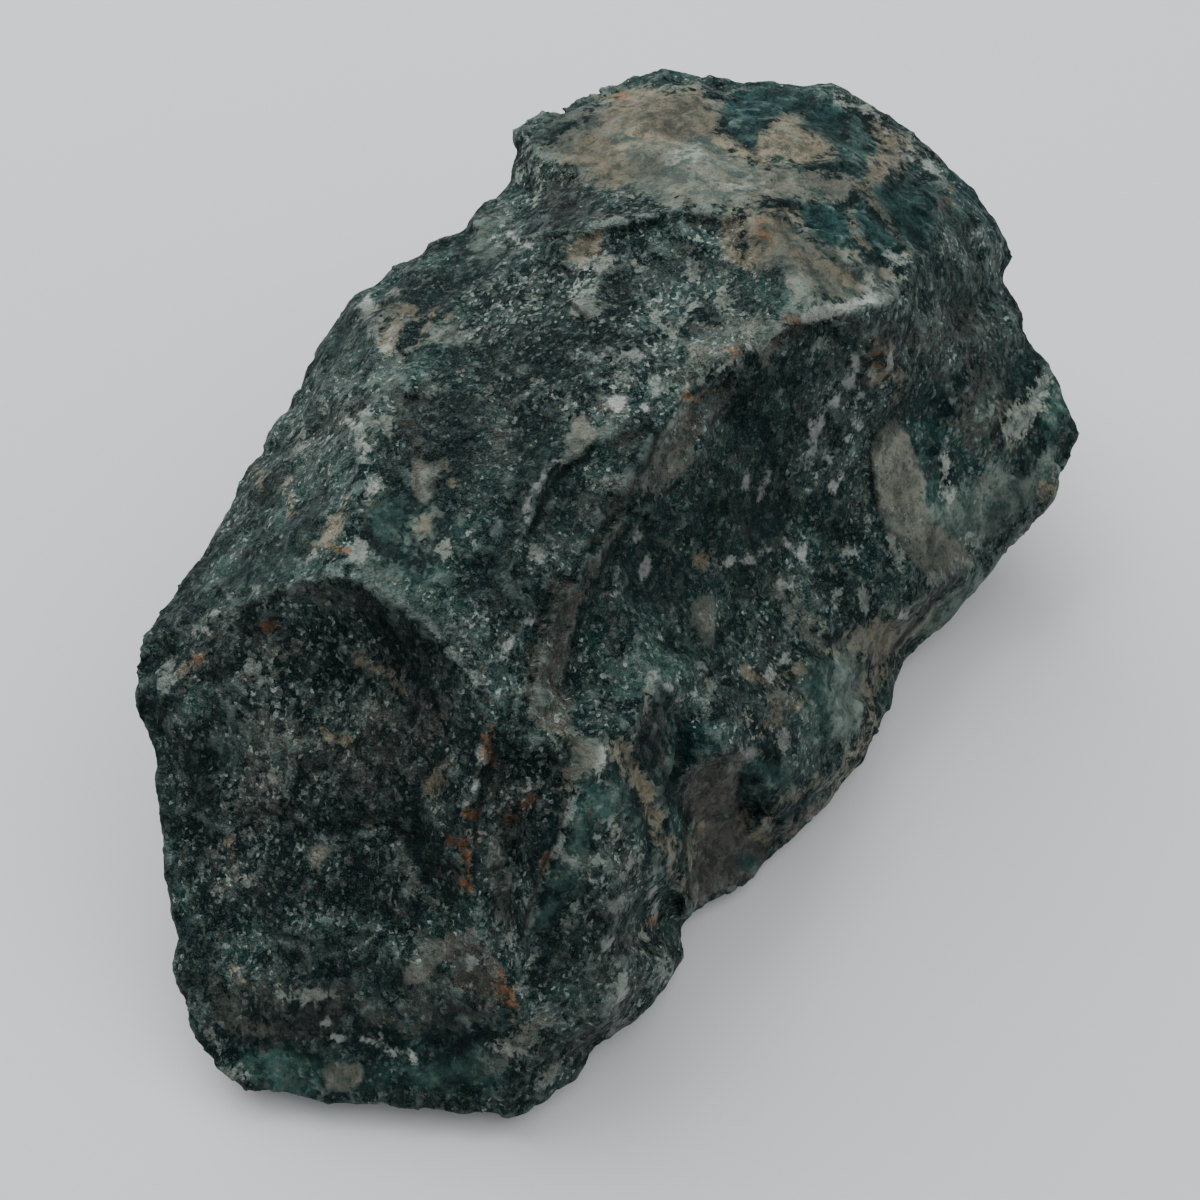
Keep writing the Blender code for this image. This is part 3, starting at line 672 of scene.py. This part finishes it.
def rough_height(x, y, z):
    """Height of the fine broken surface at a place, in millimetres."""
    place = Vector((x, y, z))
    bent = place + noise.noise_vector(place / BEND_SIZE) * BEND
    height = sum(facets(bent * finer, width, slope) / finer for finer, width, slope in CHIPS)
    height += GRAIN * noise.noise(place / GRAIN_SIZE)
    pitted = 0.5 + PITTED_GAIN * noise.noise(place / PITTED_SIZE + PITTED_AT)
    gap = noise.voronoi(bent / PIT_SIZE)[0][0]
    return height - PIT_DEPTH * max(0.0, PIT_WIDTH - gap) * max(0.0, min(1.0, pitted))


def wavered(surface):
    """Each point's pixel, moved about a little so that lines come out ragged."""
    shift = np.array([noise.noise_vector(Vector(place) / WAVER_SIZE)[:2] for place in surface.places])
    return in_picture(surface.places) + shift * WAVER


def roughen(surface):
    """Bring the smooth surface onto the outline, and give it its chips, pits and ledges."""
    low = np.clip(surface.places[:, 2:] * MM / BASE_ZONE, 0, 1)
    surface.move(outline_moves(surface.places) * low)
    heights = surface.spread(np.array([rough_height(*place) for place in surface.places]), 1)
    bulge = surface.bulge(SHARP_STEPS)
    heights = heights * np.clip(CHIP_FADE - bulge / SHARP, CHIP_LEAST, 1.0) - np.maximum(bulge - SHARP, 0.0)
    spots = wavered(surface)
    ledges = np.sum([ledge_height(ledge, spots) for ledge in LEDGES], axis=0)
    ledges -= np.max([groove_depth(groove, spots) for groove in GROOVES], axis=0)
    surface.move(surface.normals * (heights + ledges * in_sight(surface))[:, None] * low)


def hidden_depth(places, seed):
    """Stains of one kind for the sides that the camera doesn't see, as depths in millimetres."""
    shift = Vector((31.0 * seed, 17.0, 5.0))
    heights = [noise.noise(Vector(place) / HIDDEN_SIZE + shift) for place in places]
    return HIDDEN_SIZE * (np.array(heights) - HIDDEN_LEAST)


def store_looks(surface):
    """Store what the stone's colour reads at each point."""
    for name, (steps, full) in WORN_AND_HIGHLIT.items():
        surface.store(name, np.clip(surface.bulge(steps) / full, -1, 1))
    spots = in_picture(surface.places)
    seen = np.clip(in_sight(surface) * SEEN_GAIN - SEEN_LEAST, 0, 1)
    for seed, (name, marks) in enumerate(MARKS.items()):
        deepest = np.max([mark_depth(mark, spots) for mark in marks], axis=0) / PIXELS_PER_MM
        hidden = hidden_depth(surface.places, seed) if name in HIDDEN_STAINS else -DEPTH_LIMIT
        depth = seen * np.maximum(deepest, -DEPTH_LIMIT) + (1 - seen) * hidden
        surface.store(name, np.clip(depth, -DEPTH_LIMIT, DEPTH_LIMIT))


# ---- The stone's material ---------------------------------------------------------------------

class Nodes:
    """Short names for the shader nodes that the stone is made of."""

    def __init__(self, material):
        material.use_nodes = True
        self.tree = material.node_tree
        self.shader = self.tree.nodes["Principled BSDF"]
        self.place = self.new("ShaderNodeTexCoord").outputs["Object"]

    def new(self, kind, **settings):
        node = self.tree.nodes.new(kind)
        for name, value in settings.items():
            setattr(node, name, value)
        return node

    def feed(self, socket, value):
        """Link a socket to another one, or give it a number, a vector or a colour."""
        if isinstance(value, bpy.types.NodeSocket):
            self.tree.links.new(value, socket)
        elif socket.type == "RGBA":
            socket.default_value = (*value, 1.0)
        else:
            socket.default_value = value

    def feed_all(self, node, *values):
        """Feed a node's first sockets, and return what it puts out."""
        for socket, value in zip(node.inputs, values):
            self.feed(socket, value)
        return node.outputs[0]

    def math(self, operation, *values):
        return self.feed_all(self.new("ShaderNodeMath", operation=operation), *values)

    def times(self, first, second):
        return self.math("MULTIPLY", first, second)

    def plus(self, base, values, amount):
        """Base with an amount of other values added."""
        return self.math("MULTIPLY_ADD", values, amount, base)

    def vary(self, base, values, amount):
        """Base moved up and down by values that lie round 0.5."""
        return self.plus(base, self.math("SUBTRACT", values, 0.5), amount)

    def step(self, value, low, high, out_low=0.0, out_high=1.0):
        """A smooth rise from out_low to out_high as a value goes from low to high."""
        node = self.new("ShaderNodeMapRange", interpolation_type="SMOOTHSTEP")
        return self.feed_all(node, value, low, high, out_low, out_high)

    def mix(self, share, first, second):
        """The first colour with a share of the second."""
        node = self.new("ShaderNodeMix", data_type="RGBA")
        for name, value in (("Factor_Float", share), ("A_Color", first), ("B_Color", second)):
            self.feed(next(item for item in node.inputs if item.identifier == name), value)
        return next(item for item in node.outputs if item.identifier == "Result_Color")

    def field(self, name):
        return self.new("ShaderNodeAttribute", attribute_name=name).outputs["Fac"]

    def texture(self, kind, size, place, **numbers):
        """A random texture with forms about size millimetres across."""
        node = self.new(kind)
        self.feed(node.inputs["Vector"], place)
        for name, number in {"Scale": 1 / MM / size, **numbers}.items():
            node.inputs[name].default_value = number
        return node

    def noise(self, size, detail, rough, place=None):
        """Cloudy values round 0.5."""
        node = self.texture("ShaderNodeTexNoise", size, place or self.place, Detail=detail, Roughness=rough)
        return node.outputs["Fac"]

    def stretched(self, place, scale):
        return self.feed_all(self.new("ShaderNodeVectorMath", operation="MULTIPLY"), place, scale)

    def bent_place(self, size, amount):
        """The place, moved about by up to amount millimetres."""
        shift = self.texture("ShaderNodeTexNoise", size, self.place, Detail=1.0).outputs["Color"]
        node = self.new("ShaderNodeVectorMath", operation="MULTIPLY_ADD")
        return self.feed_all(node, shift, (amount * MM,) * 3, self.place)


class Grains:
    """Irregular chips of about one size, each with its own random numbers."""

    def __init__(self, nodes, size, place):
        self.nodes = nodes
        cells = nodes.texture("ShaderNodeTexVoronoi", size, place)
        channels = nodes.new("ShaderNodeSeparateColor")
        nodes.feed(channels.inputs[0], cells.outputs["Color"])
        self.first, self.second, self.third = channels.outputs[:3]

    def share(self, crowd, start, most):
        """How clearly each chip shows: most chips hardly, and a few fully."""
        rise = self.nodes.step(self.nodes.math("ADD", self.first, crowd), start, 1.0)
        return self.nodes.times(self.nodes.math("POWER", rise, 1.6), most)


class StoneNodes(Nodes):
    """The stone's material: the fields that its layers share, and one layer over another."""

    def __init__(self, material):
        super().__init__(material)
        place = self.stretched(self.bent_place(0.6, 0.40), (1.0, 1.0, 0.80))
        self.clots, self.chips, self.flecks = (Grains(self, size, place) for size in (CLOT, CHIP, FLECK))
        self.shade = self.noise(9.0, 2.0, 0.6)
        self.cloud = self.noise(4.5, 3.0, 0.65)
        mottle = self.noise(1.8, 3.0, 0.62, place)
        # Where this fine field is low the colours darken, grains dim and glints fade: painted shade of fine
        # pits.
        self.pits = self.noise(0.7, 3.0, 0.76, place)
        speckle = self.vary(mottle, self.flecks.third, 0.18)
        speckle = self.vary(speckle, self.chips.third, 0.14)
        self.speckle = self.vary(speckle, self.pits, 0.4)
        self.ragged = self.vary(0.0, self.speckle, 4.0)
        self.wander = self.vary(0.0, self.cloud, 4.0)
        self.fine = self.step(self.speckle, 0.34, 0.66)
        self.broad = self.step(mottle, 0.36, 0.64)
        streaks = self.noise(2.2, 2.0, 0.6, self.stretched(self.place, (1.0, 0.45, 1.0)))
        self.streaky = self.step(self.vary(streaks, self.speckle, 0.7), 0.32, 0.68)
        self.haze, self.dark, self.calm, self.lively = map(self.mask, ("haze", "dark", "calm", "lively"))
        self.crowd = self.step(self.cloud, 0.35, 0.65, -0.14, 0.06)
        for mask, amount in ((self.haze, 0.09), (self.dark, -0.05), (self.calm, -0.15)):
            self.crowd = self.plus(self.crowd, mask, amount)
        self.color = self.mix(self.step(self.speckle, 0.38, 0.70), *GROUND_COLORS)

    def mask(self, name):
        """Where a kind of mark shows."""
        look = LOOKS[name]
        depth = self.plus(self.field(name), self.ragged, look.ragged)
        if look.wander:
            depth = self.plus(depth, self.wander, look.wander)
        return self.step(depth, -look.soft, look.soft, 0.0, look.cover)

    def layer(self, share, color):
        """Cover a share of the stone with a colour."""
        self.color = self.mix(share, self.color, color)

    def stains(self, *names):
        """Lay marks of these kinds over the stone, one kind after another."""
        for name in names:
            look = LOOKS[name]
            pick = getattr(self, look.pick)
            self.layer(self.mask(name), self.mix(pick, look.dark, look.light) if look.light else look.dark)

    def frost(self):
        """Clouds, frosted areas and the darker ground of lively ones."""
        self.layer(self.step(self.cloud, 0.46, 0.66, 0.0, 0.8), CLOUD_COLOR)
        share = self.times(self.haze, self.step(self.speckle, 0.44, 0.64, 0.0, 0.42))
        self.layer(share, self.mix(self.fine, *FROST_COLORS))
        self.layer(self.times(self.lively, 0.55), INK)

    def grains(self):
        """Three sizes of grains, and light and dark dust over them."""
        for grains, start, most, rise, (dark, light, lively) in (
                (self.clots, 0.50, 0.60, (self.speckle, 0.34, 0.60), CLOT_COLORS),
                (self.chips, 0.46, 0.88, (self.pits, 0.36, 0.60, 0.35, 1.0), CHIP_COLORS),
                (self.flecks, 0.44, 0.85, (self.pits, 0.40, 0.56, 0.3, 1.0), FLECK_COLORS)):
            share = self.times(grains.share(self.crowd, start, most), self.step(*rise))
            light = self.mix(self.lively, light, lively)
            self.layer(share, self.mix(grains.second, dark, light))
        dust = self.noise(0.15, 0.0, 0.5)
        crisp = self.plus(1.0, self.calm, -0.7)
        self.layer(self.times(crisp, self.step(dust, 0.58, 0.72, 0.0, 0.22)), DUST_COLOR)
        self.layer(self.times(crisp, self.step(dust, 0.28, 0.44, 0.50, 0.0)), INK)

    def painted_glints(self):
        # Painted glints: a few flecks, where the pit field is high, get a bright colour that stands in for
        # glints of mica.
        share = self.times(self.flecks.share(self.crowd, 0.90, 0.85), self.step(self.pits, 0.46, 0.58))
        self.layer(share, GLINT_COLOR)

    def wear_and_highlight(self):
        """Pale worn edges, small ones and then broad ones. The pale is partly wear and partly painted
        highlight on edges and crests.
        """
        wear_and_highlight = self.plus(self.field("wear_and_highlight"), self.ragged, 0.5)
        self.layer(self.step(wear_and_highlight, 0.3, 1.3, 0.0, 0.50), WORN_AND_HIGHLIGHT_COLOR)
        ridge_wear_and_highlight = self.plus(self.field("ridge_wear_and_highlight"), self.ragged, 0.5)
        self.layer(self.step(ridge_wear_and_highlight, 0.4, 1.3, 0.0, 0.48), RIDGE_WEAR_AND_HIGHLIGHT_COLOR)

    def grit_and_painted_shade(self):
        """Dark grains, painted shade in the fine pits, darker random tone, and painted shade over the dark
        marks.
        """
        # Dark grains gather where the pit field is low, as painted shade in the pits.
        pit_shade = self.step(self.pits, 0.38, 0.62, 0.65, 0.15)
        self.layer(self.times(self.math("POWER", self.flecks.third, 3.0), pit_shade), INK)
        self.layer(self.step(self.shade, 0.38, 0.64, 0.46, 0.0), INK)
        # Painted shade over the dark marks.
        self.layer(self.times(self.dark, 0.24), INK)

    def finish(self):
        """Feed the shader its colour, its roughness and its fine relief."""
        self.feed(self.shader.inputs["Base Color"], self.color)
        self.feed(self.shader.inputs["Roughness"], self.step(self.chips.third, 0.0, 1.0, 0.75, 0.45))
        self.shader.inputs["Specular IOR Level"].default_value = 0.09
        # Bump reads this three times over, so it keeps clear of the ragged masks.
        relief = self.times(self.noise(0.8, 3.0, 0.78), self.step(self.field("calm"), -0.8, 0.8, 3.2, 1.6))
        bump = self.new("ShaderNodeBump")
        self.feed(bump.inputs["Height"], relief)
        bump.inputs["Strength"].default_value = 1.0
        bump.inputs["Distance"].default_value = 0.22 * MM
        self.feed(self.shader.inputs["Normal"], bump.outputs["Normal"])


def stone_material():
    material = bpy.data.materials.new("aventurine")
    nodes = StoneNodes(material)
    nodes.frost()
    nodes.stains("green", "jade", "brown", "dun", "olive")
    nodes.grains()
    nodes.stains("tan", "slab", "pale", "teal", "rim")
    nodes.painted_glints()
    nodes.wear_and_highlight()
    nodes.stains("white", "orange")
    nodes.grit_and_painted_shade()
    nodes.stains("crack_and_shadow")
    nodes.finish()
    return material


# ---- Floor, light and camera ------------------------------------------------------------------

def floor():
    bpy.ops.mesh.primitive_plane_add(size=FLOOR_WIDTH)
    piece = bpy.context.object
    piece.name = "floor"
    material = bpy.data.materials.new("floor")
    material.use_nodes = True
    shader = material.node_tree.nodes["Principled BSDF"]
    shader.inputs["Base Color"].default_value = FLOOR_COLOR
    shader.inputs["Roughness"].default_value = FLOOR_ROUGHNESS
    piece.data.materials.append(material)


def in_camera_ground(right, away, up):
    """A direction given by the camera's right and the ground away from it, in the part's frame."""
    ahead = CAMERA_AIM - CAMERA_AT
    ahead.z = 0
    ahead.normalize()
    return Vector((ahead.y, -ahead.x, 0)) * right + ahead * away + Vector((0, 0, up))


def lamp(name, way, width, power):
    """A soft square lamp that shines on the stone from a direction."""
    way = in_camera_ground(*way).normalized()
    data = bpy.data.lights.new(name, "AREA")
    data.size = width
    data.energy = power
    item = bpy.data.objects.new(name, data)
    item.location = way * LAMP_DISTANCE
    item.rotation_euler = (-way).to_track_quat("-Z", "Y").to_euler()
    bpy.context.scene.collection.objects.link(item)


def light():
    world = bpy.data.worlds.new("studio")
    bpy.context.scene.world = world
    world.use_nodes = True
    sky = world.node_tree.nodes["Background"]
    sky.inputs["Color"].default_value = SKY_COLOR
    sky.inputs["Strength"].default_value = SKY_STRENGTH
    for name, (way, width, power) in LAMPS.items():
        lamp(name, way, width, power)


def camera():
    data = bpy.data.cameras.new("camera")
    data.sensor_fit = "HORIZONTAL"
    data.angle = CAMERA_ANGLE
    item = bpy.data.objects.new("camera", data)
    item.location = CAMERA_AT
    item.rotation_euler = camera_turn().to_euler()
    bpy.context.scene.collection.objects.link(item)
    bpy.context.scene.camera = item


def stone():
    piece = fine_copy(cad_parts[NODE])
    roughen(Surface(piece.data))
    thin_out(piece)
    store_looks(Surface(piece.data))
    piece.data.shade_smooth()
    piece.data.materials.clear()
    piece.data.materials.append(stone_material())
    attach(piece, "root")
    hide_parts(NODE)


def corners(box):
    return [list(corner) for corner in box]


stone()
floor()
light()
camera()
